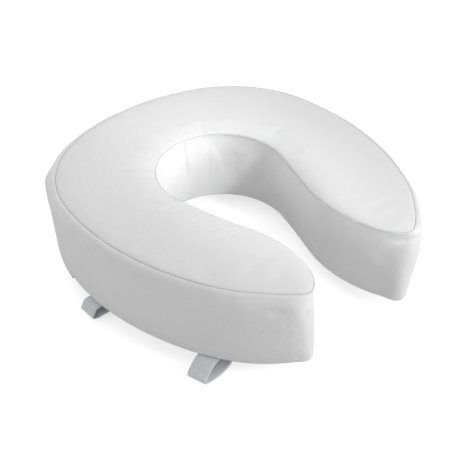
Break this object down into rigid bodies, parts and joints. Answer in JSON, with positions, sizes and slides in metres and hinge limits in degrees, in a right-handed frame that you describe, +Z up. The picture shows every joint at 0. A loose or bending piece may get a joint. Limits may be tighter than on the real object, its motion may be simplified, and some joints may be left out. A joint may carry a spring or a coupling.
{
  "type": "raised toilet seat",
  "caption": "Horseshoe foam cushion in a sewn vinyl cover with a rear zip and straps underneath, raising a toilet seat.",
  "frame": {"origin": "on the flat underside, in the middle of the bridge between the opening and the back edge", "axes": "+Z up through the cushion, +X to its right, +Y to its back; the arms point towards -Y"},
  "size_m": [0.4202, 0.4249, 0.1168],
  "materials": {
    "vinyl": "fine-grained white vinyl on a cloth backing, low sheen",
    "foam": "open-cell upholstery foam",
    "thread": "polyester sewing thread",
    "loop_tape": "woven loop tape, pale grey",
    "hook_tape": "woven hook tape, pale grey",
    "zip_tape": "woven polyester tape",
    "zip_coil": "nylon coil",
    "zip_metal": "nickel-plated zip hardware"
  },
  "bodies": {
    "cushion": {"foam_core": "foam", "top_panel": "vinyl", "bottom_panel": "vinyl", "side_band": "vinyl", "zip_strip": "vinyl", "top_seam_thread": "thread", "bottom_seam_thread": "thread", "band_join_thread": "thread", "upper_zip_tape": "zip_tape", "lower_zip_tape": "zip_tape", "upper_zip_coil": "zip_coil", "lower_zip_coil": "zip_coil", "zip_stops": "zip_metal", "strap_stitches": "thread", "hook_strap_stitches": "thread", "rear_left_strap_sewn_end": "loop_tape", "rear_left_hook_strap_sewn_end": "hook_tape", "rear_right_strap_sewn_end": "loop_tape", "rear_right_hook_strap_sewn_end": "hook_tape", "front_left_strap_sewn_end": "loop_tape", "front_left_hook_strap_sewn_end": "hook_tape", "front_right_strap_sewn_end": "loop_tape", "front_right_hook_strap_sewn_end": "hook_tape"},
    "zip_slider": {"zip_slider": "zip_metal"},
    "zip_pull": {"zip_pull": "zip_metal"},
    "rear_left_strap_root": {"rear_left_strap_root": "loop_tape"},
    "rear_left_strap_run": {"rear_left_strap_run": "loop_tape"},
    "rear_left_hook_strap": {"rear_left_hook_strap": "hook_tape"},
    "rear_right_strap_root": {"rear_right_strap_root": "loop_tape"},
    "rear_right_strap_run": {"rear_right_strap_run": "loop_tape"},
    "rear_right_hook_strap": {"rear_right_hook_strap": "hook_tape"},
    "front_left_strap_root": {"front_left_strap_root": "loop_tape"},
    "front_left_strap_run": {"front_left_strap_run": "loop_tape"},
    "front_left_hook_strap": {"front_left_hook_strap": "hook_tape"},
    "front_right_strap_root": {"front_right_strap_root": "loop_tape"},
    "front_right_strap_run": {"front_right_strap_run": "loop_tape"},
    "front_right_hook_strap": {"front_right_hook_strap": "hook_tape"}
  },
  "joints": [
    {"name": "zip_run", "type": "hinge", "parent": "cushion", "child": "zip_slider", "pos_m": [0, -0.211, 0.014], "axis": [0, 0, -1], "range_deg": [0, 37]},
    {"name": "zip_pull_lift", "type": "hinge", "parent": "zip_slider", "child": "zip_pull", "pos_m": [-0.08599, 0.046, 0.014], "axis": [0.9483, 0.3173, 0], "range_deg": [0, 150]},
    {"name": "rear_left_strap_swing", "type": "hinge", "parent": "cushion", "child": "rear_left_strap_root", "pos_m": [-0.2009, -0.137, -0.001], "axis": [0, 1, 0], "range_deg": [0, 90]},
    {"name": "rear_left_strap_unfold", "type": "hinge", "parent": "rear_left_strap_root", "child": "rear_left_strap_run", "pos_m": [-0.21, -0.137, -0.011], "axis": [0, 1, 0], "range_deg": [0, 145]},
    {"name": "rear_left_hook_open", "type": "hinge", "parent": "cushion", "child": "rear_left_hook_strap", "pos_m": [-0.10134, -0.137, -0.001], "axis": [0, -1, 0], "range_deg": [0, 110]},
    {"name": "rear_right_strap_swing", "type": "hinge", "parent": "cushion", "child": "rear_right_strap_root", "pos_m": [0.2009, -0.137, -0.001], "axis": [0, -1, 0], "range_deg": [0, 90]},
    {"name": "rear_right_strap_unfold", "type": "hinge", "parent": "rear_right_strap_root", "child": "rear_right_strap_run", "pos_m": [0.21, -0.137, -0.011], "axis": [0, -1, 0], "range_deg": [0, 145]},
    {"name": "rear_right_hook_open", "type": "hinge", "parent": "cushion", "child": "rear_right_hook_strap", "pos_m": [0.10134, -0.137, -0.001], "axis": [0, 1, 0], "range_deg": [0, 110]},
    {"name": "front_left_strap_swing", "type": "hinge", "parent": "cushion", "child": "front_left_strap_root", "pos_m": [-0.16031, -0.29576, -0.001], "axis": [-0.2588, 0.9659, 0], "range_deg": [0, 90]},
    {"name": "front_left_strap_unfold", "type": "hinge", "parent": "front_left_strap_root", "child": "front_left_strap_run", "pos_m": [-0.17972, -0.30096, -0.014], "axis": [-0.2588, 0.9659, 0], "range_deg": [0, 145]},
    {"name": "front_left_hook_open", "type": "hinge", "parent": "cushion", "child": "front_left_hook_strap", "pos_m": [-0.0659, -0.27047, -0.001], "axis": [0.2588, -0.9659, 0], "range_deg": [0, 110]},
    {"name": "front_right_strap_swing", "type": "hinge", "parent": "cushion", "child": "front_right_strap_root", "pos_m": [0.16031, -0.29576, -0.001], "axis": [-0.2588, -0.9659, 0], "range_deg": [0, 90]},
    {"name": "front_right_strap_unfold", "type": "hinge", "parent": "front_right_strap_root", "child": "front_right_strap_run", "pos_m": [0.17972, -0.30096, -0.014], "axis": [-0.2588, -0.9659, 0], "range_deg": [0, 145]},
    {"name": "front_right_hook_open", "type": "hinge", "parent": "cushion", "child": "front_right_hook_strap", "pos_m": [0.0659, -0.27047, -0.001], "axis": [0.2588, 0.9659, 0], "range_deg": [0, 110]}
  ],
  "couplings": [
    {"joint": "rear_left_hook_open", "follows": "rear_left_strap_unfold", "ratio": 0.4},
    {"joint": "rear_right_hook_open", "follows": "rear_right_strap_unfold", "ratio": 0.4},
    {"joint": "front_left_hook_open", "follows": "front_left_strap_unfold", "ratio": 0.4},
    {"joint": "front_right_hook_open", "follows": "front_right_strap_unfold", "ratio": 0.4}
  ]
}
